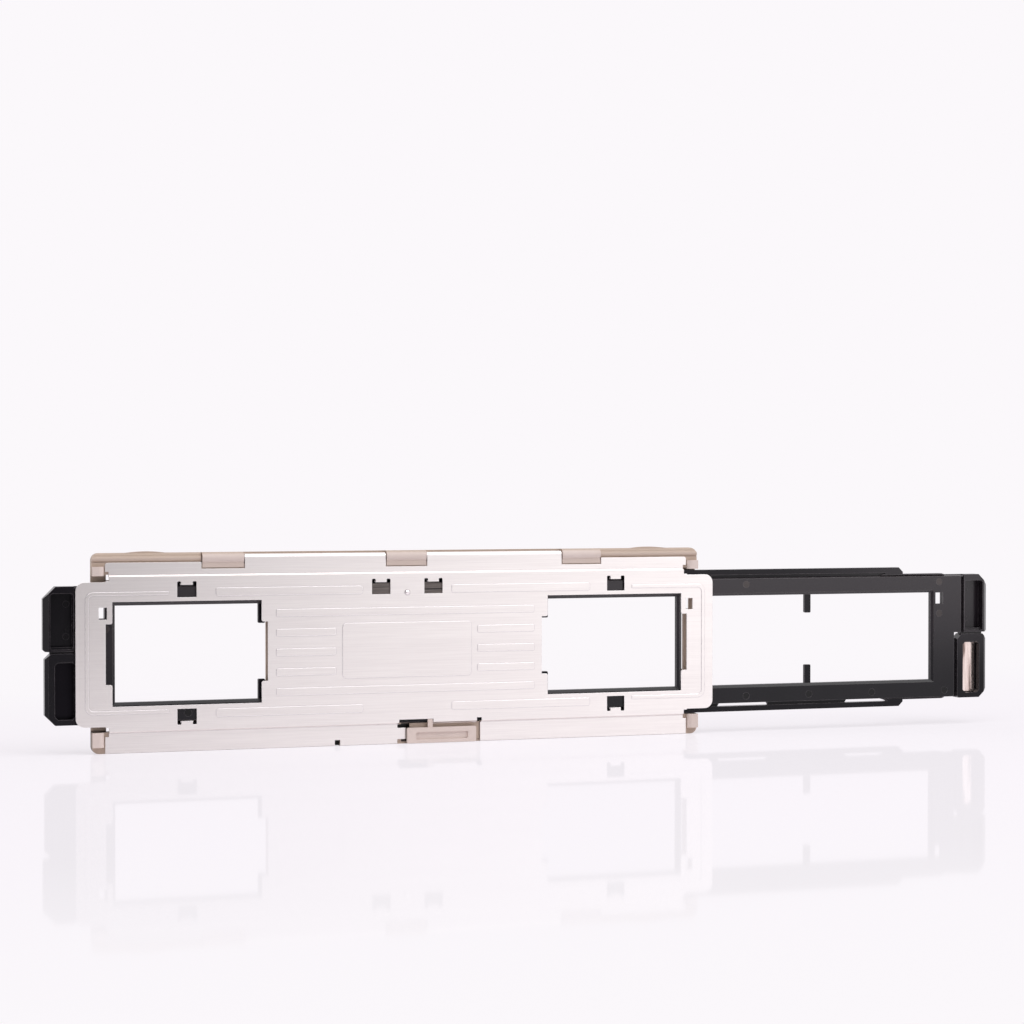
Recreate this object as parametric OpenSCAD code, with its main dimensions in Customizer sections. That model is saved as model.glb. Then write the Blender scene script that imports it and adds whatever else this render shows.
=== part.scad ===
// Strip film holder: a shell the width of a slide mount, with a stamped cover hinged
// to a moulded base, and a two-part carrier that slides through it, six frames long.
// X runs along the film, the front faces -Y, and the shell stands on its long edge.

/* [Film] */
// Pitch of the frames along the film
frame_pitch = 38; // [37.6:0.05:38.4]
// Height of the guide's strips above and below the film gates
strip_h = 4.85; // [4.5:0.05:5.2]
// Width of the bars between the gates
bar_w = 1.4; // [0.6:0.1:1.8]
// Width of the short teeth that mark a frame's edge
tooth_w = 1.8; // [0.8:0.1:2]
// Length of the short teeth
tooth_l = 5; // [3:0.5:7]

/* [Shell] */
// Height of the shell, the width of a slide mount
shell_h = 50; // [49.8:0.05:50.2]
// Length of the moulded base
base_l = 162.2; // [160:0.2:165]
// Thickness of the base behind the carrier
base_plate_t = 0.8; // [0.6:0.1:1.2]
// Radius of the base's corners seen from the front
base_corner_r = 1.8; // [0.5:0.1:2.2]
// Width of each long rim of the base
rim_w = 5.35; // [4.9:0.05:5.4]
// Drop of the film's centre line below the middle of the shell
film_drop = 0.2; // [0:0.05:0.3]
// Width of the corner posts along the shell
post_w = 3; // [2:0.1:3.4]
// Height of the bottom corner posts
post_low_h = 3.7; // [2:0.1:4]
// Height of the top corner posts
post_high_h = 2.3; // [1.5:0.1:2.5]
// Radius of the posts' inner edges
post_r = 1.4; // [0.5:0.1:1.8]
// Length of the through slots in the base's corners
corner_slot_l = 5; // [3:0.5:8]
// Height of the through slots in the base's corners
corner_slot_h = 1.4; // [1:0.1:1.5]

/* [Cover] */
// Thickness of the stamped sheet
sheet_t = 0.4; // [0.3:0.05:0.5]
// Gap between a corner post and the end of the cover's flange
post_gap = 0.2; // [0.1:0.05:1]
// Reach of the cover's raised panel past each end of the base
panel_over = 4.1; // [2:0.1:5]
// Step in from the rails' height to the height of the panel's ends
panel_step = 1.2; // [1:0.1:2]
// Corner radius of the panel's ends
panel_corner_r = 2.2; // [0.5:0.1:4]
// Depth of the step between flange and panel
joggle = 0.8; // [0.6:0.05:0.8]
// Running gap between the panel and the carrier
cover_gap = 0.3; // [0.25:0.05:0.5]
// Drop of the flange's low ends below the top of the shell
low_flange_drop = 2.4; // [2.3:0.05:3.2]
// Radius of the flange's top corners
flange_corner_r = 0.7; // [0.2:0.1:1]
// Width of the relief cuts at the ends of the step
relief_w = 0.9; // [0.5:0.1:1.2]

/* [Windows] */
// Distance from each end of the base to its window
window_inset = 5; // [4.8:0.1:8]
// Length of a window less than the frames' pitch
window_trim = 0.2; // [0:0.1:3]
// Margin of the windows above and below the film gates
window_margin = 0.95; // [0.3:0.05:1.2]
// Height of the notches beside the windows
notch_h = 15.1; // [10:0.1:18]
// Depth of the notches beside the windows
notch_d = 1.65; // [0.8:0.05:2]
// Radius of the cover's corners between windows and notches
notch_r = 0.5; // [0.2:0.1:0.8]
// Width of the small sight holes
sight_w = 2; // [1:0.1:2.4]
// Height of the small sight holes
sight_h = 3; // [2:0.1:4]
// Gap along the shell between a window and its sight hole
sight_gap = 1.35; // [1.2:0.05:1.6]
// Gap in height between a notch and its sight hole
sight_rise = 1.15; // [0.5:0.05:2]

/* [Coining] */
// Height of the coined pads and beads on the panel
coin_t = 0.12; // [0.06:0.02:0.2]
// Width of the long name panel, which is left bare
label_w = 34.4; // [30:0.2:36]
// Height of the bare name panel
label_h = 14.1; // [10:0.1:16]
// Height of the coined bars
coin_bar_h = 1.8; // [1:0.1:2.4]
// Pitch of the coined bars
coin_bar_pitch = 5.03; // [4.5:0.01:5.2]
// Height of the long coined pads beside the step
pad_h = 2; // [1:0.1:2.4]
// Width of the coined bead round each window's outer side
bead_w = 0.8; // [0.5:0.1:1.2]

/* [Lugs] */
// Width of the openings that the bent lugs leave
lug_cut_w = 4.9; // [4.4:0.1:6]
// Web between a window and the opening of its lug
lug_web = 0.95; // [0.6:0.05:1.2]
// Width of a bent lug
lug_w = 3.2; // [2:0.1:3.8]
// Length of a bent lug behind the panel
lug_length = 1; // [0.5:0.05:1.1]
// Clearance between a lug and the rail beside it
lug_clear = 0.25; // [0.15:0.05:0.3]
// Distance from the middle to the two inner lugs
lug_in_x = 7; // [6:0.1:9]

/* [Hinge] */
// Radius of the hinge pin
pin_r = 0.6; // [0.4:0.05:0.62]
// Running clearance round the pin in the cover's curls
curl_clear = 0.05; // [0.03:0.01:0.09]
// Clearance round the pin in the base's knuckles
knuckle_clear = 0.01; // [0.01:0.01:0.05]
// Radius of the base's knuckles
knuckle_r = 1.5; // [1.3:0.05:1.5]
// Width of the knuckles
knuckle_w = 10.6; // [8:0.1:14]
// Distance from the middle to the outer knuckles
knuckle_x = 48; // [40:0.5:52]
// Gap between a knuckle and the cover beside it
knuckle_gap = 0.25; // [0.15:0.05:0.5]
// Height of the cover's openings below the knuckles
knuckle_cut = 1.1; // [1:0.05:1.3]

/* [Latch] */
// Left edge of the latch's block from the middle, when released
latch_x = -0.1; // [-0.3:0.1:0.1]
// Width of the latch's block
latch_w = 18.6; // [16:0.1:19]
// Height of the latch's block
latch_h = 4.1; // [3.6:0.1:4.2]
// Distance that the block stands in front of the flange
latch_proud = 1.1; // [0.8:0.1:1.4]
// Travel of the latch to its locked end
latch_travel = 2.2; // [1.5:0.1:2.2]
// Gap beside the latch at its locked end
latch_gap = 0.2; // [0.1:0.05:0.4]
// Gap beside the latch at its released end
latch_end_gap = 1.4; // [1:0.1:2]

/* [Carrier] */
// Length of the carrier over its end tabs
carrier_l = 262; // [260:0.2:264]
// Thickness of the carrier
carrier_t = 1.85; // [1.7:0.05:2]
// Length of the carrier's rails
rail_l = 208.9; // [205:0.2:211]
// Height of each rail's section
rail_w = 1.45; // [1.2:0.05:1.6]
// Running gap between the carrier's lower rail and the base's rim
rail_gap = 0.25; // [0.15:0.05:0.4]
// Height of the grooves that the lugs run in
groove_w = 0.8; // [0.75:0.05:1]
// Free travel of the carrier past its last click
stop_gap = 2.2; // [1:0.1:3]
// Thickness of the front film guide
guide_t = 0.8; // [0.7:0.05:0.9]
// Gap for the film between the guide and the frame
film_gap = 0.15; // [0.1:0.01:0.2]
// Width of the bevel round the guide's openings
bevel_w = 0.7; // [0.3:0.05:1]
// Radius of the guide's moulded hinge studs
stud_r = 0.3; // [0.25:0.01:0.32]
// Running clearance round the hinge studs
stud_clear = 0.05; // [0.03:0.01:0.06]
// Radius of the ejector marks
mark_r = 0.95; // [0.6:0.05:1.2]

/* [End tabs] */
// Thickness of the end tabs
tab_t = 3.2; // [2.6:0.1:3.4]
// Width of the upper finger tabs
upper_tab_w = 7.6; // [7:0.1:8]
// Distance from the carrier's end to the lower tabs' inner edge
lower_tab_w = 9.7; // [9.4:0.1:10]
// Floor of the tabs' finger pockets
tab_floor = 0.6; // [0.4:0.05:0.9]
// Width of the bevel down each tab's outer edge
tab_bevel = 1.3; // [0.5:0.1:1.4]
// Thickness of the bright keeper strip in the lower pocket
keeper_t = 0.3; // [0.2:0.05:0.5]

/* [Hidden] */
$fn = 48;
eps = 0.01;
far = 400;

// Depths, from the rear face of the base to the front of the cover
base_gap = 0.05;
seat_gap = 0.05;
shell_t = sheet_t + cover_gap + carrier_t + base_gap + base_plate_t;
y_rear = shell_t / 2;
y_plate = y_rear - base_plate_t;
y_carrier_rear = y_plate - base_gap;
y_carrier = y_carrier_rear - carrier_t;
y_panel_in = y_carrier - cover_gap;
y_panel = y_panel_in - sheet_t;
y_flange_in = y_panel_in + joggle;
y_flange = y_flange_in - sheet_t;
y_rim = y_flange_in + seat_gap;
y_guide_rear = y_carrier + guide_t;
y_frame = y_guide_rear + film_gap;

// Heights above the film's centre line, from the rails in to the film gates
end_step = 1.8;
tab_step = 0.3;
film_z = shell_h / 2 - film_drop;
rail_half = film_z - rim_w - rail_gap;
rail_in = rail_half - rail_w;
guide_half = rail_in - groove_w;
gate_h = 2 * (guide_half - strip_h);
end_half = rail_half - end_step;
tab_half = end_half - tab_step;
lug_low = rail_in - lug_clear - sheet_t;

// Carrier, drawn about its own middle and set at its right-hand stop less the stop gap
seam_w = 0.95;
body_inset = 3.9;
body_run = 1;
upper_tab_x = carrier_l / 2 - upper_tab_w;
lower_tab_x = carrier_l / 2 - lower_tab_w;
travel = lower_tab_x - base_l / 2 - stop_gap;
guide_low_x = lower_tab_x - seam_w;
guide_high_x = upper_tab_x - seam_w;
body_x = lower_tab_x - body_inset;

// Gates, each two frames long, as many as the carrier holds
end_wall = 5;
tooth_r = 0.3;
gate_l = 2 * frame_pitch - bar_w;
gate_count = floor((2 * (lower_tab_x - end_wall) + bar_w) / (2 * frame_pitch));
gates_end = gate_count * frame_pitch - bar_w / 2;
gate_xs = [for (k = [0 : gate_count - 1]) (2 * k - gate_count + 1) * frame_pitch];

// Windows and sight holes
window_out = base_l / 2 - window_inset;
window_in = window_out - frame_pitch + window_trim;
window_h = gate_h + 2 * window_margin;
sight_x = window_out + sight_gap + sight_w / 2;
sight_z = notch_h / 2 + sight_rise + sight_h / 2;

// Lugs and the grooves that they run in
lug_shift = 0.2;
lug_edge_r = 0.3;
ear_w = 1;
ear_h = 0.9;
ear_r = 0.3;
groove_margin = 0.7;
groove_run = 2.3;
rail_chamfer = 1.25;
rail_slot_lead = 8.1;
rail_slot_l = 15;
rail_slot_run = 0.5;
end_slot_l = 10.5;
lug_x = (window_in + window_out) / 2 + lug_shift;
lug_cut_h = lug_low - window_h / 2 - lug_web;
groove_end = lug_x + travel + lug_w / 2 + groove_margin;
rail_half_l = rail_l / 2;
rail_slot_x = lug_x - rail_slot_lead;

// Hinge: the curl's front is tangent to the flange
pin_inset = 0.3;
curl_mouth = 0.1;
knuckle_foot = 0.3;
knuckle_back_r = 0.4;
hinge_z = shell_h - knuckle_r;
curl_in_r = pin_r + curl_clear;
curl_r = curl_in_r + sheet_t;
hinge_y = y_flange + curl_r;
pin_l = 2 * knuckle_x + knuckle_w - 2 * pin_inset;
curl_in_x = knuckle_w / 2 + knuckle_gap;
curl_out_x = knuckle_x - knuckle_w / 2 - knuckle_gap;
low_end_x = knuckle_x + knuckle_w / 2 + knuckle_gap;
knuckle_cut_z = hinge_z - knuckle_r - knuckle_cut;

// Top rim
lip_t = 0.3;
nose_r = 0.8;
band_proud = 0.35;
band_r = 0.8;
hump_l = 10;
hump_h = 0.35;
hump_inset = 13.7;
band_front = hinge_y - band_proud;
low_flange_z = shell_h - low_flange_drop;
hump_x = base_l / 2 - hump_inset;

// Corner posts and corner slots
post_inset = 0.1;
post_proud = 0.1;
post_drop = 0.3;
corner_slot_inset = 3.8;
corner_slot_gap = 0.05;
post_y = y_panel - post_proud;
post_x1 = base_l / 2 - post_inset;
post_x0 = post_x1 - post_w;
post_high_z = shell_h - rim_w - post_drop;

// Cover
flange_low_z = 0.1;
step_clear = 0.1;
step_run = 0.35;
step_bend = 0.3;
relief_low = 1.05;
relief_high = 1.3;
edge_notch_x = -19.1;
edge_notch_w = 1.4;
edge_notch_h = 1.5;
flange_l = 2 * (post_x0 - post_gap);
panel_l = base_l + 2 * panel_over;
panel_half = rail_half - panel_step;
step_z = rail_half + step_clear;

// Coined pads, bars and beads
label_drop = 0.35;
label_r = 1;
coin_bar_gap = 1.8;
coin_bar_drop = 0.4;
coin_bar_margin = 2.15;
coin_bar_r = 0.3;
pad_in_gap = 2.5;
pad_out_gap = 7.4;
pad_gap = 1.2;
pad_r = 0.5;
bead_over = 1.7;
bead_lead = 4.6;
bead_drop_low = 2.2;
bead_drop_high = 1.6;
bead_r = 2;
coin_bar_in = label_w / 2 + coin_bar_gap;
coin_bar_out = window_in - notch_d - coin_bar_margin;
pad_in = lug_in_x + lug_cut_w / 2 + pad_in_gap;
pad_out = lug_x - pad_out_gap;
bead_x = base_l / 2 + bead_over;
bead_end = lug_x + bead_lead;
bead_low = bead_drop_low - lug_low;
bead_high = lug_low - bead_drop_high;

// Latch: a block on a plate that slides under the flange, with a leg through the base
tongue_low_z = 1.2;
latch_head_gap = 0.9;
latch_end_slot = 1.3;
latch_edge_r = 0.4;
core_inset = 0.4;
latch_plate_lead = 1;
latch_plate_past = 1.2;
latch_plate_low = 0.6;
latch_plate_drop = 0.15;
latch_recess_d = 0.6;
hook_gap = 0.1;
leg_lead = 8.8;
leg_w = 3;
leg_low_z = 2;
leg_high_z = 3.4;
foot_inset = 0.65;
foot_t = 0.4;
foot_lip = 0.6;
slide_clear = 0.1;
rim_pocket_floor = 0.4;
finger_lead = 5.6;
finger_w = 1.3;
finger_h = 1.2;
finger_set_back = 0.3;
finger_root = 0.5;
finger_slot_inset = 0.3;
thumb_lead = 2.3;
thumb_tail = 2.2;
thumb_low_z = 1;
thumb_high_z = 2.9;
thumb_d = 0.5;
thumb_r = 0.5;
latch_end = latch_x + latch_w;
latch_cut_x = latch_x - latch_travel - latch_gap;
latch_cut_end = latch_end + latch_end_gap;
latch_cut_h = latch_h + latch_head_gap;
core_x = latch_x + latch_travel + latch_gap;
latch_plate_x = latch_x + latch_plate_lead;
latch_plate_end = latch_end + latch_plate_past;
latch_plate_high = rim_w - latch_plate_drop;
latch_floor_y = y_plate - latch_recess_d;
y_latch = y_flange - latch_proud;
y_hook = y_flange - hook_gap;
leg_x = latch_x + leg_lead;
foot_y = y_rear - foot_inset;
finger_x = latch_x + finger_lead;
finger_z = latch_cut_h + finger_h;
finger_y = y_latch + finger_set_back;
finger_slot_x = latch_cut_x + finger_slot_inset;
finger_slot_end = finger_x + finger_w + latch_gap;
finger_slot_z = finger_z + slide_clear;
thumb_x = latch_x + thumb_lead;
thumb_end = latch_end - thumb_tail;

// Click spring and its rivet
spring_t = 0.15;
spring_half = 13;
spring_mid = 4;
spring_gap = 0.1;
spring_h = 3.9;
spring_taper = 0.4;
spring_waist = 0.8;
spring_slit_h = 0.3;
spring_slit_low = 1.9;
rivet_drop = 2.6;
rivet_r = 0.6;
rivet_face_r = 0.75;
rivet_head_r = 0.9;
rivet_head_t = 0.08;
rivet_clear = 0.02;
spring_high = lug_low - spring_gap;
spring_low = spring_high - spring_h;
spring_slit_z = spring_low + spring_slit_low;
rivet_z = film_z + spring_high - rivet_drop;

// Film frame and guide
strip_gap = 0.15;
notch_low = -0.75;
notch_high = 0.9;
notch_past = 1.1;
web_half = 2;
web_inset = 1.6;
stud_depth = 0.5;
stud_drop = 0.4;
stud_l = 2.5;
stud_end_gap = 0.2;
guide_chamfer_front = 0.35;
guide_chamfer_rear = 0.3;
bevel_d = 0.56;
bevel_face = 0.1;
right_sight_gap = 2.4;
left_sight_gap = 3.8;
carrier_sight_rise = 0.3;
carrier_sight_w = 2.3;
carrier_sight_h = 3.1;
strip_x = max(rail_half_l, groove_end + groove_run);
notch_end = lower_tab_x + notch_past;
web_end = carrier_l / 2 - web_inset;
stud_y = y_carrier + stud_depth;
stud_z = film_z + guide_half - stud_drop;
right_sight_x = gates_end + right_sight_gap;
left_sight_x = gates_end + left_sight_gap;
carrier_sight_z = sight_z + carrier_sight_rise;

// End tabs and their finger pockets
upper_tab_drop = 0.05;
lower_tab_drop = 0.3;
lower_tab_gap = 0.5;
lower_end_inset = 0.4;
tab_corner = 3;
lower_corner = 2.5;
small_corner = 0.5;
mid_corner = 1.4;
upper_wall_x = 0.25;
upper_wall_low = 0.5;
upper_wall_high = 1.75;
upper_pocket_w = 5.65;
lower_wall_x = 1.8;
lower_wall_low = 1.4;
lower_wall_high = 2.15;
lower_pocket_w = 5.1;
pocket_corner = 0.8;
keeper_margin_x = 0.3;
keeper_margin_z = 0.2;
keeper_r = 0.7;
upper_tab_low = notch_high;
upper_tab_high = tab_half - upper_tab_drop;
lower_tab_low = -tab_half - lower_tab_drop;
lower_tab_high = notch_high - lower_tab_gap;
lower_end_x = carrier_l / 2 - lower_end_inset;
upper_pocket_x = upper_tab_x + upper_wall_x;
upper_pocket_end = upper_pocket_x + upper_pocket_w;
upper_pocket_low = upper_tab_low + upper_wall_low;
upper_pocket_high = upper_tab_high - upper_wall_high;
lower_pocket_x = lower_tab_x + lower_wall_x;
lower_pocket_end = lower_pocket_x + lower_pocket_w;
lower_pocket_low = lower_tab_low + lower_wall_low;
lower_pocket_high = lower_tab_high - lower_wall_high;
tab_rear_y = y_carrier + tab_t;
tab_floor_y = tab_rear_y - tab_floor;

// Ejector marks: distance along the film guide and height from the film's centre line
mark_d = 0.05;
mark_inset = 1.85;
mark_gap = 2.4;
low_mark_gap = 4.1;
mid_mark_z = 6.3;
mark_lead = 18.3;
pocket_mark_r = 0.8;
pocket_mark_x = 1.45;
pocket_mark_low = 3.1;
pocket_mark_high = 11.2;
mark_z = guide_half - mark_inset;
guide_marks = [
    [gates_end + mark_gap, mark_z], [gates_end + mark_gap, mid_mark_z],
    [gates_end + low_mark_gap, -mark_z], [gates_end - mark_lead, -mark_z],
    [lug_x, mark_z], [lug_x, -mark_z], [2 * frame_pitch, -mark_z]
];

// A plate seen from the front: children are drawn in X and Z
module plate(y0, y1) {
    translate([0, y1, 0]) rotate([90, 0, 0]) linear_extrude(y1 - y0) children();
}

// A bar along X: children are drawn in Y and Z
module bar(x0, x1) {
    translate([x0, 0, 0]) rotate([90, 0, 90]) linear_extrude(x1 - x0) children();
}

module box2(x0, z0, x1, z1) {
    translate([x0, z0]) square([x1 - x0, z1 - z0]);
}

module round2(x0, z0, x1, z1, r) {
    box2(x0 + r, z0, x1 - r, z1);
    box2(x0, z0 + r, x1, z1 - r);
    for (x = [x0 + r, x1 - r], z = [z0 + r, z1 - r]) translate([x, z]) circle(r);
}

// A rectangle with its four corners cut off at 45 degrees
module cut_corners2(x0, z0, x1, z1, c) {
    polygon([
        [x0 + c, z0], [x1 - c, z0], [x1, z0 + c], [x1, z1 - c],
        [x1 - c, z1], [x0 + c, z1], [x0, z1 - c], [x0, z0 + c]
    ]);
}

// What rounding takes off a corner whose sides run from x, z along dx and dz
module corner2(x, z, dx, dz, r) {
    difference() {
        box2(min(x, x + dx * r), min(z, z + dz * r), max(x, x + dx * r), max(z, z + dz * r));
        translate([x + dx * r, z + dz * r]) circle(r);
    }
}

module both_ends() {
    children();
    mirror([1, 0, 0]) children();
}

// Mirror in the film's centre line
module both_edges() {
    children();
    translate([0, 0, 2 * film_z]) mirror([0, 0, 1]) children();
}

// Drawing plane with its origin on the film's centre line
module on_film() {
    translate([0, film_z]) children();
}

// ---------------------------------------------------------------- openings

// One window with its two side notches
module window2() {
    half = notch_h / 2;
    on_film() {
        box2(window_in, -window_h / 2, window_out, window_h / 2);
        box2(window_in - notch_d, -half, window_out + notch_d, half);
    }
}

module sight2() {
    on_film() translate([sight_x, sight_z]) square([sight_w, sight_h], center = true);
}

// The rounding that the stamping tool leaves where a notch meets its window
module notch_rounding2() {
    on_film() for (s = [-1, 1]) {
        corner2(window_out, s * notch_h / 2, 1, s, notch_r);
        corner2(window_in, s * notch_h / 2, -1, s, notch_r);
    }
}

// ---------------------------------------------------------------- base

// Section of the long rim where the cover's low ends swing past it
module band2() {
    translate([hinge_y, hinge_z]) circle(nose_r);
    box2(y_rim, shell_h - rim_w, y_rear, low_flange_z);
    box2(band_front, shell_h - rim_w, y_rear, shell_h - band_r);
    box2(band_front + band_r, shell_h - band_r - eps, y_rear, shell_h);
    translate([band_front + band_r, shell_h - band_r]) circle(band_r);
}

// Section of the rim between the knuckles: a low rim with a lip behind the curls
module low_rim2() {
    box2(y_rim, shell_h - rim_w, y_rear, hinge_z - knuckle_r);
    box2(y_rear - lip_t, shell_h - rim_w, y_rear, shell_h);
}

module knuckle2() {
    back = y_rear - knuckle_back_r;
    top = hinge_z + knuckle_r;
    translate([hinge_y, hinge_z]) circle(knuckle_r);
    box2(y_flange, knuckle_cut_z + knuckle_foot, y_rear, hinge_z - knuckle_r * cos(45));
    box2(hinge_y, hinge_z - knuckle_r, y_rear, top - knuckle_back_r);
    box2(hinge_y, hinge_z, back, top);
    translate([back, top - knuckle_back_r]) circle(knuckle_back_r);
    low_rim2();
}

// A low rounded hump on the top edge, near each end
module hump() {
    r = (pow(hump_l / 2, 2) + pow(hump_h, 2)) / (2 * hump_h);
    plate(band_front + band_r / 2, y_rear) intersection() {
        translate([hump_x, shell_h + hump_h - r]) circle(r, $fn = 360);
        box2(hump_x - hump_l, shell_h - band_r, hump_x + hump_l, shell_h + hump_h);
    }
}

// A corner post's section seen from above, rounded towards the flange
module post_section2() {
    box2(post_x0 + post_r, post_y, post_x1, y_rear);
    box2(post_x0, post_y + post_r, post_x1, y_rear);
    translate([post_x0 + post_r, post_y + post_r]) circle(post_r);
}

module posts() {
    translate([0, 0, rim_w - post_low_h]) linear_extrude(post_low_h) post_section2();
    translate([0, 0, post_high_z]) linear_extrude(post_high_h) post_section2();
}

// The through slots beside the rims, in the corners of the base
module corner_slots2() {
    x1 = base_l / 2 - corner_slot_inset;
    low = rim_w + corner_slot_gap;
    high = shell_h - rim_w - corner_slot_gap;
    box2(x1 - corner_slot_l, low, x1, low + corner_slot_h);
    box2(x1 - corner_slot_l, high - corner_slot_h, x1, high);
}

// The recess that the latch slides in, and the slot for its leg
module latch_recess() {
    x0 = latch_plate_x - latch_travel - slide_clear;
    x1 = latch_plate_end + slide_clear;
    leg0 = leg_x - latch_travel - slide_clear;
    leg1 = leg_x + leg_w + slide_clear;
    plate(-far, latch_floor_y) box2(x0, latch_plate_low - slide_clear, x1, rim_w + eps);
    plate(0, far) box2(leg0, leg_low_z - slide_clear, leg1, leg_high_z + slide_clear);
    plate(foot_y - slide_clear / 2, far)
        box2(leg0, leg_low_z - foot_lip - slide_clear, leg1, leg_high_z + foot_lip + slide_clear);
}

// Pockets in the lower rim, seen through the cover's openings left of the latch
module rim_pockets() {
    plate(-far, y_rear - rim_pocket_floor) {
        box2(latch_cut_x - slide_clear, latch_h - slide_clear, latch_plate_x, latch_cut_h);
        box2(edge_notch_x, -eps, edge_notch_x + edge_notch_w, edge_notch_h);
    }
}

module base_frame() {
    half = base_l / 2;
    color([0.82, 0.77, 0.73]) difference() {
        union() {
            intersection() {
                union() {
                    plate(y_plate, y_rear) box2(-half, 0, half, hinge_z - knuckle_r);
                    plate(y_rim, y_rear) box2(-half, 0, half, rim_w);
                    bar(-low_end_x, low_end_x) low_rim2();
                    both_ends() bar(low_end_x, half) band2();
                }
                plate(-far, far) round2(-half, 0, half, shell_h, base_corner_r);
            }
            for (x = [-knuckle_x, 0, knuckle_x])
                bar(x - knuckle_w / 2, x + knuckle_w / 2) knuckle2();
            both_ends() hump();
            both_ends() posts();
        }
        both_ends() plate(-far, far) {
            window2();
            sight2();
            corner_slots2();
        }
        latch_recess();
        rim_pockets();
        bar(-pin_l / 2, pin_l / 2) translate([hinge_y, hinge_z]) circle(pin_r + knuckle_clear);
    }
}

module hinge_pin() {
    color([0.72, 0.72, 0.74])
        bar(-pin_l / 2, pin_l / 2) translate([hinge_y, hinge_z]) circle(pin_r);
}

// ---------------------------------------------------------------- cover

// Section of the sheet from the panel over the step to the upper flange
module step2() {
    on_film() polygon([
        [y_panel, 0], [y_panel, step_z + sheet_t - step_run],
        [y_flange, step_z + sheet_t], [y_flange, hinge_z - film_z],
        [y_flange_in, hinge_z - film_z], [y_flange_in, step_z],
        [y_panel_in, step_z - step_run + step_bend], [y_panel_in, 0]
    ]);
}

// Section from the panel to the lower flange
module low_step2() {
    on_film() polygon([
        [y_panel, 0], [y_panel, -step_z - sheet_t + step_run],
        [y_flange, -step_z - sheet_t], [y_flange, flange_low_z - film_z],
        [y_flange_in, flange_low_z - film_z], [y_flange_in, -step_z],
        [y_panel_in, -step_z + step_run - step_bend], [y_panel_in, 0]
    ]);
}

// The curl round the hinge pin, open below
module curl2() {
    difference() {
        translate([hinge_y, hinge_z]) circle(curl_r);
        translate([hinge_y, hinge_z]) circle(curl_in_r);
        box2(y_flange_in, hinge_z - far, hinge_y + curl_mouth, hinge_z);
    }
}

// The opening that a bent lug leaves, with an ear on each side of its fold
module lug_opening2() {
    z1 = film_z + lug_low;
    box2(-lug_cut_w / 2, z1 - lug_cut_h, lug_cut_w / 2, z1);
    for (s = [-1, 1]) translate([s * (lug_cut_w - ear_w) / 2, 0])
        round2(-ear_w / 2, z1 - ear_w, ear_w / 2, z1 + ear_h, ear_r);
}

// A lug bent back above its opening, with a rounded free edge
module lug() {
    y1 = y_panel_in + lug_length;
    translate([0, 0, film_z + lug_low]) linear_extrude(sheet_t) {
        box2(-lug_w / 2, y_panel_in - eps, lug_w / 2, y1 - lug_edge_r);
        round2(-lug_w / 2, y_panel_in, lug_w / 2, y1, lug_edge_r);
    }
}

module at_lugs() {
    both_edges() for (x = [-lug_x, lug_x]) translate([x, 0, 0]) children();
    for (x = [-lug_in_x, lug_in_x]) translate([x, 0, 0]) children();
}

module latch_opening2() {
    slot_x = latch_cut_end - latch_end_slot + latch_gap;
    difference() {
        box2(latch_cut_x, -eps, latch_cut_end, latch_cut_h);
        box2(latch_cut_x - eps, tongue_low_z, latch_x - latch_gap, latch_h);
    }
    box2(finger_slot_x, latch_cut_h - eps, finger_slot_end, finger_slot_z);
    box2(slot_x, latch_cut_h - eps, slot_x + latch_end_slot, finger_slot_z);
}

// The flanges' outline: low at both ends, and cut away round the knuckles
module flange_outline2() {
    half = flange_l / 2;
    difference() {
        box2(-half, flange_low_z, half, hinge_z + curl_r + eps);
        for (s = [-1, 1]) {
            box2(min(s * low_end_x, s * far), low_flange_z, max(s * low_end_x, s * far), far);
            box2(s * knuckle_x - knuckle_w / 2 - knuckle_gap, knuckle_cut_z,
                s * knuckle_x + knuckle_w / 2 + knuckle_gap, far);
            corner2(s * half, low_flange_z, -s, -1, flange_corner_r);
        }
        box2(-curl_in_x, knuckle_cut_z, curl_in_x, far);
        latch_opening2();
        box2(edge_notch_x, -eps, edge_notch_x + edge_notch_w, edge_notch_h);
    }
}

// The relief cuts at the ends of the step, which keep the sheet from tearing
module step_relief2() {
    x0 = flange_l / 2 - relief_w;
    box2(x0, step_z - relief_low, far, step_z + relief_high);
}

// Half of the coined pads, bars and bead, on the right, about the film's centre line
module coining2() {
    for (k = [-2 : 2]) translate([0, k * coin_bar_pitch - coin_bar_drop])
        round2(abs(k) == 2 ? -coin_bar_r : coin_bar_in, -coin_bar_h / 2,
            coin_bar_out, coin_bar_h / 2, coin_bar_r);
    for (z = [-window_h / 2 - pad_gap - pad_h, window_h / 2 + pad_gap])
        round2(pad_in, z, pad_out, z + pad_h, pad_r);
    difference() {
        round2(bead_end - bead_r, bead_low, bead_x, bead_high, bead_r);
        round2(bead_end - 2 * bead_r, bead_low + bead_w, bead_x - bead_w, bead_high - bead_w,
            bead_r - bead_w);
        box2(bead_end - 2 * bead_r, -far, bead_end, far);
    }
}

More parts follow.
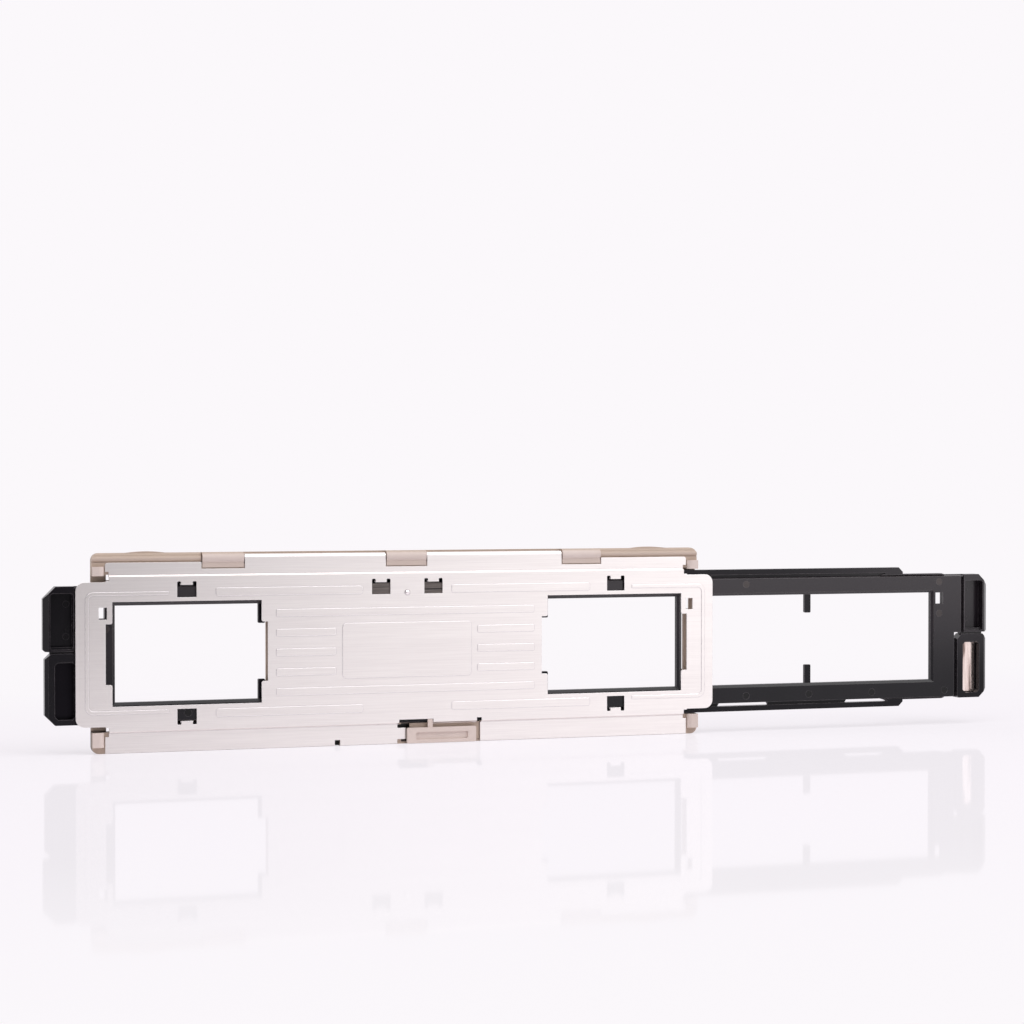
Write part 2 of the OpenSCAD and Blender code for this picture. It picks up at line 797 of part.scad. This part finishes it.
module cover_plate() {
    label_x = label_w / 2;
    color([0.86, 0.84, 0.84]) union() {
        difference() {
            union() {
                intersection() {
                    bar(-flange_l / 2, flange_l / 2) {
                        step2();
                        low_step2();
                    }
                    plate(-far, far) flange_outline2();
                }
                plate(y_panel, y_panel_in) on_film()
                    round2(-panel_l / 2, -panel_half, panel_l / 2, panel_half, panel_corner_r);
                both_ends() plate(y_panel - coin_t, y_panel + eps) on_film() coining2();
                plate(y_panel - coin_t, y_panel + eps) on_film() translate([0, -label_drop])
                    round2(-label_x, -label_h / 2, label_x, label_h / 2, label_r);
            }
            both_ends() plate(-far, far) {
                window2();
                sight2();
                notch_rounding2();
            }
            both_ends() both_edges() plate(-far, far) on_film() step_relief2();
            at_lugs() plate(-far, far) lug_opening2();
            plate(-far, far) translate([0, rivet_z]) circle(rivet_r);
        }
        at_lugs() lug();
        both_ends() bar(curl_in_x, curl_out_x) curl2();
    }
}

// ---------------------------------------------------------------- click spring

// A thin leaf under the cover, narrower towards its free ends, with one slit for its tongue
module click_spring() {
    color([0.45, 0.43, 0.42]) difference() {
        plate(y_panel_in, y_panel_in + spring_t) on_film() difference() {
            polygon([
                [-spring_half, spring_low + spring_waist], [-spring_half, spring_high - spring_taper],
                [-spring_mid, spring_high], [spring_mid, spring_high],
                [spring_half, spring_high - spring_taper], [spring_half, spring_low + spring_waist],
                [spring_mid, spring_low], [-spring_mid, spring_low]
            ]);
            box2(spring_mid, spring_slit_z, far, spring_slit_z + spring_slit_h);
        }
        plate(-far, far) translate([0, rivet_z]) circle(rivet_r);
    }
}

module spring_rivet() {
    y_leaf = y_panel_in + spring_t;
    color([0.86, 0.84, 0.84]) translate([0, 0, rivet_z]) {
        plate(y_panel - rivet_head_t, y_panel) circle(rivet_face_r);
        plate(y_panel - eps, y_leaf + eps) circle(rivet_r - rivet_clear);
        plate(y_leaf, y_leaf + rivet_head_t) circle(rivet_head_r);
    }
}

// ---------------------------------------------------------------- latch

module latch_slider() {
    y_floor = latch_floor_y - seat_gap;
    color([0.82, 0.77, 0.73]) difference() {
        union() {
            plate(y_latch, y_hook) round2(latch_x, flange_low_z, latch_end, latch_h, latch_edge_r);
            plate(y_hook - eps, y_rim)
                box2(core_x, latch_plate_low, latch_end - core_inset, latch_h - latch_gap);
            plate(y_rim, y_floor)
                box2(latch_plate_x, latch_plate_low, latch_plate_end, latch_plate_high);
            plate(y_floor - eps, foot_y + foot_t) box2(leg_x, leg_low_z, leg_x + leg_w, leg_high_z);
            plate(foot_y, foot_y + foot_t)
                box2(leg_x, leg_low_z - foot_lip, leg_x + leg_w, leg_high_z + foot_lip);
            plate(finger_y, y_hook) box2(finger_x, latch_h - finger_root, finger_x + finger_w, finger_z);
        }
        plate(y_latch - eps, y_latch + thumb_d)
            round2(thumb_x, thumb_low_z, thumb_end, thumb_high_z, thumb_r);
    }
}

// ---------------------------------------------------------------- carrier

// The gates less their teeth, whose free ends are rounded
module gates2() {
    half = gate_h / 2;
    on_film() for (x = gate_xs) difference() {
        box2(x - gate_l / 2, -half, x + gate_l / 2, half);
        for (s = [-1, 1]) {
            tip = s * (half - tooth_l);
            box2(x - tooth_w / 2, min(tip + s * tooth_r, s * far), x + tooth_w / 2,
                max(tip + s * tooth_r, s * far));
            box2(x - tooth_w / 2 + tooth_r, min(tip, s * far), x + tooth_w / 2 - tooth_r,
                max(tip, s * far));
            for (t = [-1, 1]) translate([x + t * (tooth_w / 2 - tooth_r), tip + s * tooth_r])
                circle(tooth_r);
        }
    }
}

// A rail's outline down to a given height, cut off at a slant at both ends
module rail2(inner) {
    x0 = rail_half_l - rail_chamfer;
    on_film() polygon([
        [-rail_half_l, rail_half - rail_chamfer], [-x0, rail_half], [x0, rail_half],
        [rail_half_l, rail_half - rail_chamfer], [rail_half_l, inner], [-rail_half_l, inner]
    ]);
}

// The full-depth strip above the guide's end, slanted where it closes the lugs' groove
module end_strip2() {
    low = guide_half + strip_gap;
    on_film() polygon([
        [groove_end, low], [groove_end + groove_run, rail_in], [strip_x, rail_in],
        [strip_x, end_half], [body_x - body_run, end_half], [body_x, tab_half], [body_x, low]
    ]);
}

// The slots through the lower groove, with slanted ends
module rail_slots2() {
    x1 = rail_slot_x + rail_slot_l;
    x2 = groove_end - end_slot_l;
    on_film() {
        polygon([
            [rail_slot_x, -rail_in], [rail_slot_x + rail_slot_run, -guide_half],
            [x1 - rail_slot_run, -guide_half], [x1, -rail_in]
        ]);
        polygon([
            [x2, -rail_in], [x2 + rail_slot_run, -guide_half],
            [groove_end, -guide_half], [groove_end + groove_run, -rail_in]
        ]);
    }
}

module upper_tab2() {
    x1 = carrier_l / 2;
    on_film() polygon([
        [upper_tab_x, upper_tab_low], [x1 - small_corner, upper_tab_low],
        [x1, upper_tab_low + small_corner], [x1, upper_tab_high - tab_corner],
        [x1 - tab_corner, upper_tab_high], [upper_tab_x, upper_tab_high]
    ]);
}

module lower_tab2() {
    x1 = lower_end_x;
    on_film() polygon([
        [lower_tab_x, lower_tab_low + small_corner], [lower_tab_x + small_corner, lower_tab_low],
        [x1 - lower_corner, lower_tab_low], [x1, lower_tab_low + lower_corner],
        [x1, lower_tab_high - mid_corner], [x1 - mid_corner, lower_tab_high],
        [lower_tab_x + mid_corner, lower_tab_high], [lower_tab_x, lower_tab_high - mid_corner]
    ]);
}

module upper_pocket2() {
    on_film() cut_corners2(upper_pocket_x, upper_pocket_low, upper_pocket_end,
        upper_pocket_high, pocket_corner / 2);
}

module lower_pocket2() {
    on_film() cut_corners2(lower_pocket_x, lower_pocket_low, lower_pocket_end,
        lower_pocket_high, pocket_corner);
}

// The bevel down a tab's outer edge
module tab_bevel_cut() {
    x1 = carrier_l / 2;
    linear_extrude(far) polygon([
        [x1 - tab_bevel, y_carrier - eps], [x1 + tab_bevel, y_carrier - eps],
        [x1 + tab_bevel, y_carrier + 2 * tab_bevel], [x1, y_carrier + tab_bevel]
    ]);
}

module end_tabs() {
    difference() {
        plate(y_carrier, tab_rear_y) {
            upper_tab2();
            lower_tab2();
        }
        plate(y_carrier - eps, tab_floor_y) {
            upper_pocket2();
            lower_pocket2();
        }
        tab_bevel_cut();
        plate(tab_floor_y - eps, tab_floor_y + mark_d) on_film()
            for (z = [pocket_mark_low, pocket_mark_high])
                translate([upper_pocket_x + pocket_mark_x, upper_pocket_low + z])
                    circle(pocket_mark_r);
    }
}

// The web behind the seam, which carries the tabs
module tab_web() {
    x0 = body_x - body_run;
    plate(y_frame, y_carrier_rear) on_film() difference() {
        union() {
            box2(x0, -tab_half, lower_tab_x + mid_corner, tab_half);
            box2(x0, notch_high, upper_tab_x + eps, tab_half);
            box2(guide_high_x, -web_half, web_end, web_half);
        }
        box2(guide_low_x, notch_low, notch_end, notch_high);
    }
}

module film_frame_solid() {
    x0 = body_x - body_run;
    difference() {
        union() {
            plate(y_frame, y_carrier_rear) on_film() box2(-x0, -end_half, x0, end_half);
            both_edges() plate(y_frame, y_carrier_rear) rail2(end_half - eps);
            both_edges() plate(y_carrier, y_carrier_rear) rail2(rail_in - eps);
            both_ends() both_edges() plate(y_carrier, y_carrier_rear) end_strip2();
            both_ends() tab_web();
            both_ends() end_tabs();
        }
        plate(-far, far) gates2();
        both_ends() plate(-far, far) rail_slots2();
        carrier_sights();
        both_ends() bar(upper_tab_x - eps, upper_tab_x + stud_l)
            translate([stud_y, stud_z]) circle(stud_r + stud_clear);
    }
}

// The carrier's two sight holes, one at each end
module carrier_sights() {
    plate(-far, far) on_film() for (x = [-left_sight_x, right_sight_x])
        translate([x, carrier_sight_z]) square([carrier_sight_w, carrier_sight_h], center = true);
}

module film_frame() {
    color([0.13, 0.13, 0.14]) translate([travel, 0, 0]) film_frame_solid();
}

module keeper_solid() {
    plate(tab_floor_y - keeper_t, tab_floor_y) on_film()
        round2(lower_pocket_x + keeper_margin_x, lower_pocket_low + keeper_margin_z,
            lower_pocket_end - keeper_margin_x, lower_pocket_high - keeper_margin_z, keeper_r);
}

module keeper_left() {
    color([0.05, 0.05, 0.055]) translate([travel, 0, 0]) mirror([1, 0, 0]) keeper_solid();
}

module keeper_right() {
    color([0.8, 0.76, 0.74]) translate([travel, 0, 0]) keeper_solid();
}

// ---------------------------------------------------------------- film guide

// Section of the guide: its top edge is chamfered on both sides, so it can turn
module guide_section2() {
    front = guide_chamfer_front;
    rear = guide_chamfer_rear;
    on_film() polygon([
        [y_carrier, -guide_half], [y_carrier, guide_half - front],
        [y_carrier + front, guide_half], [y_guide_rear - rear, guide_half],
        [y_guide_rear, guide_half - rear], [y_guide_rear, -guide_half]
    ]);
}

// One gate, opening out towards the front
module bevelled_gate() {
    y_bevel = y_carrier + bevel_d;
    x = gate_l / 2;
    z = gate_h / 2;
    hull() {
        plate(y_carrier - bevel_face, y_carrier) on_film()
            box2(-x - bevel_w, -z - bevel_w, x + bevel_w, z + bevel_w);
        plate(y_bevel, y_bevel + eps) on_film() box2(-x, -z, x, z);
    }
    plate(-far, far) on_film() box2(-x, -z, x, z);
}

module film_guide_solid() {
    difference() {
        union() {
            bar(-guide_high_x, guide_high_x) guide_section2();
            both_ends() bar(guide_high_x - eps, upper_tab_x + stud_l - stud_end_gap)
                translate([stud_y, stud_z]) circle(stud_r);
        }
        both_ends() plate(-far, far) on_film() box2(guide_low_x, -far, far, notch_high);
        for (x = gate_xs) translate([x, 0, 0]) bevelled_gate();
        carrier_sights();
        both_ends() plate(y_carrier - eps, y_carrier + mark_d) on_film()
            for (m = guide_marks) translate(m) circle(mark_r);
    }
}

module film_guide() {
    color([0.13, 0.13, 0.14]) translate([travel, 0, 0]) film_guide_solid();
}

base_frame();
hinge_pin();
cover_plate();
click_spring();
spring_rivet();
latch_slider();
film_frame();
film_guide();
keeper_left();
keeper_right();
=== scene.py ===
"""Strip film holder: a stamped, brushed cover on a moulded base, with a black film carrier."""
import math

import bpy
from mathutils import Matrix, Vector


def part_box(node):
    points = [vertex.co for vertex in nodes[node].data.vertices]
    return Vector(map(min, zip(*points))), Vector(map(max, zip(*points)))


MM = 0.001
# The white round the object, as the camera and the shiny parts see it.
BACKDROP = "#FBF8FB"
# A Mix node has sockets for each kind of value, and these are the ones for colours.
MIX_A, MIX_B, MIX_RESULT = 6, 7, 2
# Most values of a noise lie in the first of these spans, and nearly all in the second.
NOISE_MIDDLE, NOISE_REACH = (0.35, 0.65), (0.3, 0.7)

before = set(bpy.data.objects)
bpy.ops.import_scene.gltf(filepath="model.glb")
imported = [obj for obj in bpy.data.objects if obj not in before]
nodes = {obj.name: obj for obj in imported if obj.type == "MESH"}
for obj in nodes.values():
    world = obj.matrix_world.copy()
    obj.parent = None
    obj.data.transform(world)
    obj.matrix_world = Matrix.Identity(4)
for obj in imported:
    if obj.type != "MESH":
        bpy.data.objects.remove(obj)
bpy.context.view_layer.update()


def linear(hex_colour):
    """An sRGB hex colour as linear RGBA."""
    parts = [int(hex_colour[i:i + 2], 16) / 255 for i in (1, 3, 5)]
    return [p / 12.92 if p <= 0.04045 else ((p + 0.055) / 1.055) ** 2.4 for p in parts] + [1]


def add(tree, kind, inputs=None, **settings):
    """Adds a shader node; an input is a value, or another node's output socket."""
    node = tree.nodes.new("ShaderNode" + kind)
    for key, value in settings.items():
        setattr(node, key, value)
    for key, value in (inputs or {}).items():
        if isinstance(value, bpy.types.NodeSocket):
            tree.links.new(value, node.inputs[key])
        else:
            node.inputs[key].default_value = value
    return node


def start_material(name):
    """A new material with an empty node tree."""
    material = bpy.data.materials.new(name)
    material.use_nodes = True
    material.node_tree.nodes.clear()
    return material, material.node_tree


def finish_material(tree, shader):
    """Joins a material's last shader to its output."""
    add(tree, "OutputMaterial", {"Surface": shader.outputs[0]})


def finish_piece(material, inputs):
    """Ends the material of a piece in a Principled shader with these inputs."""
    finish_material(material.node_tree, add(material.node_tree, "BsdfPrincipled", inputs))
    return material


def product(tree, a, b):
    """Two values multiplied."""
    return add(tree, "Math", {0: a, 1: b}, operation="MULTIPLY").outputs[0]


def larger(tree, a, b):
    """The larger of two values."""
    return add(tree, "Math", {0: a, 1: b}, operation="MAXIMUM").outputs[0]


def between(tree, factor, a, b):
    """Two values mixed by a factor."""
    return add(tree, "Mix", {"Factor": factor, "A": a, "B": b}, data_type="FLOAT").outputs[0]


def blend(tree, factor, colour_a, colour_b):
    """Two colours mixed by a factor; each is a hex colour or a socket."""
    picked = [linear(c) if isinstance(c, str) else c for c in (colour_a, colour_b)]
    mix = add(tree, "Mix", {"Factor": factor}, data_type="RGBA")
    for socket, colour in zip((mix.inputs[MIX_A], mix.inputs[MIX_B]), picked):
        if isinstance(colour, bpy.types.NodeSocket):
            tree.links.new(colour, socket)
        else:
            socket.default_value = colour
    return mix.outputs[MIX_RESULT]


def mixed(tree, share, shader_a, shader_b):
    """Two shaders mixed by the second one's share."""
    return add(tree, "MixShader", {0: share, 1: shader_a.outputs[0], 2: shader_b.outputs[0]})


def spread(tree, value, span, result, smooth=False):
    """Maps a value's span onto the result's span, and holds the result at both ends."""
    return add(tree, "MapRange", {"Value": value, "From Min": span[0], "From Max": span[1],
                                  "To Min": result[0], "To Max": result[1]},
               interpolation_type="SMOOTHSTEP" if smooth else "LINEAR").outputs[0]


def ramp(tree, value, *stops):
    """The colour that a value picks between stops, each a position and a hex colour."""
    node = add(tree, "ValToRGB", {"Fac": value})
    elements = node.color_ramp.elements
    while len(elements) < len(stops):
        elements.new(0.5)
    for element, (position, colour) in zip(elements, stops):
        element.position = position
        element.color = linear(colour)
    return node.outputs[0]


def noise(tree, per_metre, detail, roughness=0.5):
    """A noise on the piece, with so many cells per metre along each of its axes."""
    where = add(tree, "TexCoord")
    place = add(tree, "Mapping", {"Vector": where.outputs["Object"], "Scale": per_metre})
    return add(tree, "TexNoise", {"Vector": place.outputs[0], "Scale": 1.0, "Detail": detail,
                                  "Roughness": roughness}).outputs["Fac"]


def rise(tree, axis, span_mm):
    """0 to 1 along an axis of the piece, from the span's first place to its second."""
    where = add(tree, "SeparateXYZ", {"Vector": add(tree, "TexCoord").outputs["Object"]})
    span = [place * MM for place in span_mm]
    return spread(tree, where.outputs[axis], span, (0, 1), smooth=True)


def edge_band(tree, radius_mm, patchy):
    """1 where an edge lies within the radius and 0 on open faces, broken up by a noise."""
    # Cosines of the angle by which a rounded edge turns the surface.
    open_face, sharp_edge = 0.98, 0.82
    rounded = add(tree, "Bevel", {"Radius": radius_mm * MM}, samples=6)
    likeness = add(tree, "VectorMath", {0: rounded.outputs[0],
                                        1: add(tree, "NewGeometry").outputs["Normal"]},
                   operation="DOT_PRODUCT")
    edge = spread(tree, likeness.outputs["Value"], (open_face, sharp_edge), (0, 1))
    patch = noise(tree, (260, 260, 260), detail=3)
    return product(tree, edge, spread(tree, patch, NOISE_MIDDLE, (1 - patchy, 1)))


def crevice(tree, reach_mm, depth):
    """1 deep in the inner corners of a piece and 0 on its open faces."""
    open_face = 0.97
    shade = add(tree, "AmbientOcclusion", {"Distance": reach_mm * MM}, samples=8, only_local=True)
    return spread(tree, shade.outputs["AO"], (open_face, open_face - depth), (0, 1))


def brushed_aluminium():
    """Rolled aluminium sheet, brushed along its length: long fine streaks and a soft gloss."""
    material, tree = start_material("brushed_aluminium")
    broad_share, burnished = 0.35, 0.22
    # Real brush lines are 0.05 mm apart; 0.25 mm is the finest that shows here.
    fine = noise(tree, (60, 60, 4000), detail=4, roughness=0.6)
    broad = noise(tree, (9, 9, 300), detail=3)
    streak = between(tree, broad_share, fine, broad)
    colour = ramp(tree, streak, (0.3, "#EDE7E5"), (0.7, "#FAF5F2"))
    gloss = spread(tree, streak, NOISE_REACH, (0.38, 0.30))
    # Painted highlight: the edges of the coined relief are painted near-white, and are glossier
    # too.
    edge = edge_band(tree, radius_mm=0.16, patchy=0.3)
    # Painted shade: the inner corners of the relief are darkened.
    corner_shaded = blend(tree, crevice(tree, reach_mm=0.3, depth=0.35), colour, "#C6BFC1")
    edge_coloured = blend(tree, edge, corner_shaded, "#FFFCFD")
    # Coining leaves round shoulders on the relief.
    shoulder = add(tree, "Bevel", {"Radius": 0.1 * MM}, samples=8)
    bump = add(tree, "Bump", {"Height": fine, "Strength": 0.10, "Distance": 0.02 * MM,
                              "Normal": shoulder.outputs[0]})
    return finish_piece(material, {
        "Base Color": edge_coloured, "Metallic": 1.0, "Roughness": between(tree, edge, gloss, burnished),
        "Normal": bump.outputs[0]})


def moulded_abs():
    """Warm grey ABS from a spark-eroded mould: fine grain, with painted shade on the faces set
    back from the front.
    """
    material, tree = start_material("warm_grey_abs")
    dark, pale, inner, pocket_shadow = "#D5C5BD", "#DFD0C9", "#BCA898", "#15110F"
    # Spans in mm: from the front faces inwards; into the lower rim's pockets, which stop before
    # the back; and down past the rim's top edge.
    inwards = (-1.3, -0.3)
    into_pocket, from_back = (-0.3, 0.5), (1.6, 1.4)
    below_rim = (6, 5.2)
    grain = noise(tree, (4500, 4500, 4500), detail=2)
    cloud = noise(tree, (60, 60, 60), detail=3)
    colour = ramp(tree, cloud, (0.3, dark), (0.7, pale))
    # Painted shade: faces set back from the front are darker.
    faces = blend(tree, rise(tree, "Y", inwards), colour, inner)
    # Painted shadow: near-black deep in the pockets of the lower rim.
    deep = product(tree, rise(tree, "Y", into_pocket), rise(tree, "Z", below_rim))
    pocket = product(tree, deep, rise(tree, "Y", from_back))
    pocket_shaded = blend(tree, pocket, faces, pocket_shadow)
    edge_coloured = blend(tree, edge_band(tree, radius_mm=0.15, patchy=0.7), pocket_shaded, pale)
    bump = add(tree, "Bump", {"Height": grain, "Strength": 0.25, "Distance": 0.03 * MM})
    return finish_piece(material, {
        "Base Color": edge_coloured, "Roughness": 0.48, "Normal": bump.outputs[0]})


def moulded_black(name, light_left, light_right, lowest_sheen):
    """Black glass-filled plastic: semi-gloss, with flow marks, ejector marks, painted light on its
    upper half, and edges paled by wear and by painted highlight.
    """
    material, tree = start_material(name)
    # Spans in mm: to the right end, up the face, and to the floor of the ejector marks
    # from before it and from behind it.
    to_right_end, upwards = (100, 165), (10, 40)
    front_face, mark_depth = -1, 0.05
    mark_floor = front_face + mark_depth
    before = (mark_floor - 0.035, mark_floor - 0.015)
    behind = (mark_floor + 0.03, mark_floor + 0.01)
    grain = noise(tree, (3500, 3500, 3500), detail=2)
    flow = noise(tree, (45, 45, 45), detail=4)
    colour = ramp(tree, flow, (0.3, "#0D0B10"), (0.75, "#151319"))
    # Painted light: the upper half is paler and glossier, most of all at the right end.
    right_lit = spread(tree, rise(tree, "X", to_right_end), (0, 1), (light_left, light_right))
    painted_light = product(tree, rise(tree, "Z", upwards), right_lit)
    top_lit = blend(tree, painted_light, colour, "#272126")
    mark = product(tree, rise(tree, "Y", before), rise(tree, "Y", behind))
    # Ejector marks: near-black low down, and paler high up under the painted light.
    marked = blend(tree, mark, top_lit, blend(tree, painted_light, "#060607", "#3F3736"))
    # Pale edges: partly wear, partly painted highlight.
    edge_coloured = blend(tree, edge_band(tree, radius_mm=0.22, patchy=0.6), marked, "#706A6E")
    bump = add(tree, "Bump", {"Height": grain, "Strength": 0.2, "Distance": 0.03 * MM})
    return finish_piece(material, {
        "Base Color": edge_coloured, "Roughness": spread(tree, flow, NOISE_REACH, (0.17, 0.27)),
        "Normal": bump.outputs[0],
        "Specular IOR Level": spread(tree, painted_light, (0, 1), (lowest_sheen, 0.52))})


def peened_rivet(node, face_radius_mm):
    """Aluminium rivet, its head spread by a cupped punch: a low dome, with painted shade in a fine
    dark ring at its edge.
    """
    material, tree = start_material("peened_rivet")
    face_radius = face_radius_mm * MM
    ring_start = 0.75 * face_radius
    low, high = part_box(node)
    centre = (low + high) / 2
    # The distance from the rivet's axis, which runs along Y.
    off_axis = add(tree, "VectorMath", {0: add(tree, "TexCoord").outputs["Object"], 1: (1, 0, 1),
                                        2: (-centre.x, 0, -centre.z)}, operation="MULTIPLY_ADD")
    radius = add(tree, "VectorMath", {0: off_axis.outputs[0]}, operation="LENGTH").outputs["Value"]
    # Painted shade: a dark ring round the edge of the head.
    ring_shade = spread(tree, radius, (ring_start, face_radius), (0, 1))
    dome = spread(tree, radius, (0, face_radius), (1, 0), smooth=True)
    bump = add(tree, "Bump", {"Height": dome, "Strength": 1.0, "Distance": 0.3 * MM})
    return finish_piece(material, {
        "Base Color": blend(tree, ring_shade, "#F7F0F0", "#8E8688"), "Metallic": 1.0,
        "Roughness": 0.28, "Normal": bump.outputs[0]})


def drawn_steel():
    """Bright drawn wire, with fine lines along it."""
    material, tree = start_material("drawn_steel")
    line = noise(tree, (80, 5000, 5000), detail=2)
    return finish_piece(material, {
        "Base Color": linear("#C9C9CB"), "Metallic": 1.0,
        "Roughness": spread(tree, line, (0, 1), (0.18, 0.32))})


def spring_steel():
    """Rolled spring steel, grey-brown from its heat treatment."""
    material, tree = start_material("spring_steel")
    roll = noise(tree, (120, 120, 2500), detail=3)
    return finish_piece(material, {
        "Base Color": ramp(tree, roll, (0.3, "#5C5654"), (0.7, "#7A736F")), "Metallic": 1.0,
        "Roughness": 0.42})


def plated_steel():
    """Bright nickel plate with handling marks across it."""
    material, tree = start_material("plated_steel")
    smear = noise(tree, (1200, 1200, 90), detail=4)
    colour = ramp(tree, smear, (0.36, "#75655F"), (0.44, "#CDB9B2"), (0.65, "#F2E2DB"))
    return finish_piece(material, {
        "Base Color": colour, "Metallic": 1.0,
        "Roughness": spread(tree, smear, NOISE_MIDDLE, (0.32, 0.14))})


def blackened_steel():
    """Chemically blackened strip, with a faint oily gloss."""
    material, tree = start_material("blackened_steel")
    smear = noise(tree, (400, 400, 160), detail=4)
    return finish_piece(material, {
        "Base Color": linear("#1E1C20"), "Metallic": 1.0,
        "Roughness": spread(tree, smear, NOISE_MIDDLE, (0.45, 0.30))})


def dress(node, material, edge_mm=0):
    """Gives a CAD node its finish, and breaks its sharp edges by a small bevel."""
    piece = nodes[node]
    piece.data.materials.clear()
    piece.data.materials.append(material)
    if edge_mm:
        bevel = piece.modifiers.new("broken_edges", "BEVEL")
        bevel.width = edge_mm * MM
        bevel.segments = 2
        bevel.limit_method = "ANGLE"
        bevel.angle_limit = math.radians(40)
        bevel.harden_normals = True


def shows_backdrop(tree):
    """1 on the rays that see the white backdrop: the camera's, and those off shiny surfaces."""
    path = add(tree, "LightPath")
    shiny = larger(tree, path.outputs["Is Glossy Ray"], path.outputs["Is Transmission Ray"])
    return larger(tree, path.outputs["Is Camera Ray"], shiny)


def flat(name, corners, material):
    """A flat piece of the studio, which isn't part of the object."""
    mesh = bpy.data.meshes.new(name)
    mesh.from_pydata(corners, [], [(0, 1, 2, 3)])
    mesh.materials.append(material)
    piece = bpy.data.objects.new(name, mesh)
    bpy.context.scene.collection.objects.link(piece)
    return piece


def make_floor():
    """A white lacquered table with a faint sheen; the camera sees it as white as the backdrop."""
    material, tree = start_material("white_table")
    left, right, front, back = -3, 3, -1.2, 4
    # The table turns into the backdrop all round, so that no horizon shows. Its sheen ends
    # nearer to the object, before it would show the lamps.
    fade_m, sheen_end_m = (0.15, 0.5), (0.2, 0.36)
    backwards_mm, forwards_mm = (0, 200), (-100, -350)
    near_glow, near_sheen = 0.62, 0.105
    plain = add(tree, "BsdfDiffuse", {"Color": linear("#F4F1F6")})
    away = add(tree, "VectorMath", {0: add(tree, "TexCoord").outputs["Object"]},
               operation="LENGTH").outputs["Value"]
    far = spread(tree, away, fade_m, (0, 1), smooth=True)
    along = larger(tree, rise(tree, "Y", backwards_mm), rise(tree, "Y", forwards_mm))
    gone = larger(tree, far, along)
    white = add(tree, "Emission", {"Color": blend(tree, gone, "#FAF6FB", BACKDROP),
                                   "Strength": 1.0})
    pale = mixed(tree, spread(tree, gone, (0, 1), (near_glow, 1)), plain, white)
    sheen = add(tree, "BsdfGlossy", {"Color": linear("#FAF8FA"), "Roughness": 0.04})
    seen = mixed(tree, spread(tree, away, sheen_end_m, (near_sheen, 0)), pale, sheen)
    finish_material(tree, mixed(tree, shows_backdrop(tree), plain, seen))
    flat("table", [(left, front, 0), (right, front, 0), (right, back, 0), (left, back, 0)],
         material)


def make_cards():
    """Dark cards by the camera, on the left: they keep the shiny parts there from glaring."""
    material, tree = start_material("dark_card")
    finish_material(tree, add(tree, "BsdfDiffuse", {"Color": linear("#26262C")}))
    front, right, lift = -0.8, 0.06, 0.001
    left, top = -1.2, 0.42
    upright = [(left, front, 0), (right, front, 0), (right, front, top), (left, front, top)]
    # The level card reaches nearer to the object on its left.
    left, left_end, right_end = -0.8, -0.12, -0.37
    level = [(left, front, lift), (right, front, lift), (right, right_end, lift),
             (left, left_end, lift)]
    for name, corners in (("upright_card", upright), ("level_card", level)):
        flat(name, corners, material).visible_camera = False


def make_world():
    """Even pale studio light, and a white backdrop for the camera and for shiny parts."""
    world = bpy.data.worlds.new("studio")
    bpy.context.scene.world = world
    world.use_nodes = True
    tree = world.node_tree
    tree.nodes.clear()
    seen = add(tree, "Background", {"Color": linear(BACKDROP), "Strength": 1.0})
    light = add(tree, "Background", {"Color": linear("#FBF7F8"), "Strength": 0.62})
    mix = mixed(tree, shows_backdrop(tree), light, seen)
    add(tree, "OutputWorld", {"Surface": mix.outputs[0]})


def softbox(name, where, aim, width, height, power):
    """A rectangular lamp that faces its aim. The camera doesn't see it."""
    lamp = bpy.data.lights.new(name, "AREA")
    lamp.shape = "RECTANGLE"
    lamp.size = width
    lamp.size_y = height
    lamp.energy = power
    lamp_object = bpy.data.objects.new(name, lamp)
    lamp_object.location = where
    lamp_object.visible_camera = False
    lamp_object.rotation_euler = (Vector(aim) - Vector(where)).to_track_quat("-Z", "Y").to_euler()
    bpy.context.scene.collection.objects.link(lamp_object)


def make_camera():
    """The photograph's view: from the left and a little above, through a long lens."""
    # A fit to measured edges in the photograph gave the place and both angles.
    place = (-0.16768, -0.6036, 0.06879)
    yaw, pitch = math.radians(18.045), math.radians(0.812)
    camera = bpy.data.cameras.new("camera")
    camera.sensor_width = 36
    camera.lens = 85
    camera.clip_start = 0.01
    holder = bpy.data.objects.new("camera", camera)
    holder.location = place
    look = Vector((math.sin(yaw), math.cos(yaw), -math.tan(pitch)))
    holder.rotation_euler = look.to_track_quat("-Z", "Y").to_euler()
    bpy.context.scene.collection.objects.link(holder)
    bpy.context.scene.camera = holder


make_camera()
make_world()
make_floor()
make_cards()
softbox("overhead", where=(0.05, -0.35, 0.9), aim=(0.03, 0, 0.02), width=1.9, height=0.8,
        power=6.0)
softbox("upper_right", where=(0.6, -0.45, 0.8), aim=(0, 0, 0.02), width=0.9, height=0.8,
        power=1.7)
softbox("front_right", where=(0.62, -0.9, 0.2), aim=(0.05, 0, 0.02), width=0.5, height=0.4,
        power=0.45)

warm_grey = moulded_abs()
black_frame = moulded_black("black_frame", light_left=0.1, light_right=0.9, lowest_sheen=0.2)
black_guide = moulded_black("black_guide", light_left=0.92, light_right=0.95, lowest_sheen=0.31)
dress("base_frame", warm_grey, edge_mm=0.08)
dress("latch_slider", warm_grey, edge_mm=0.12)
dress("cover_plate", brushed_aluminium(), edge_mm=0.11)
dress("spring_rivet", peened_rivet("spring_rivet", face_radius_mm=0.75))
dress("click_spring", spring_steel())
dress("hinge_pin", drawn_steel(), edge_mm=0.05)
dress("film_frame", black_frame, edge_mm=0.1)
dress("film_guide", black_guide, edge_mm=0.08)
dress("keeper_left", blackened_steel(), edge_mm=0.05)
dress("keeper_right", plated_steel(), edge_mm=0.05)

bpy.context.scene.view_settings.view_transform = "Standard"
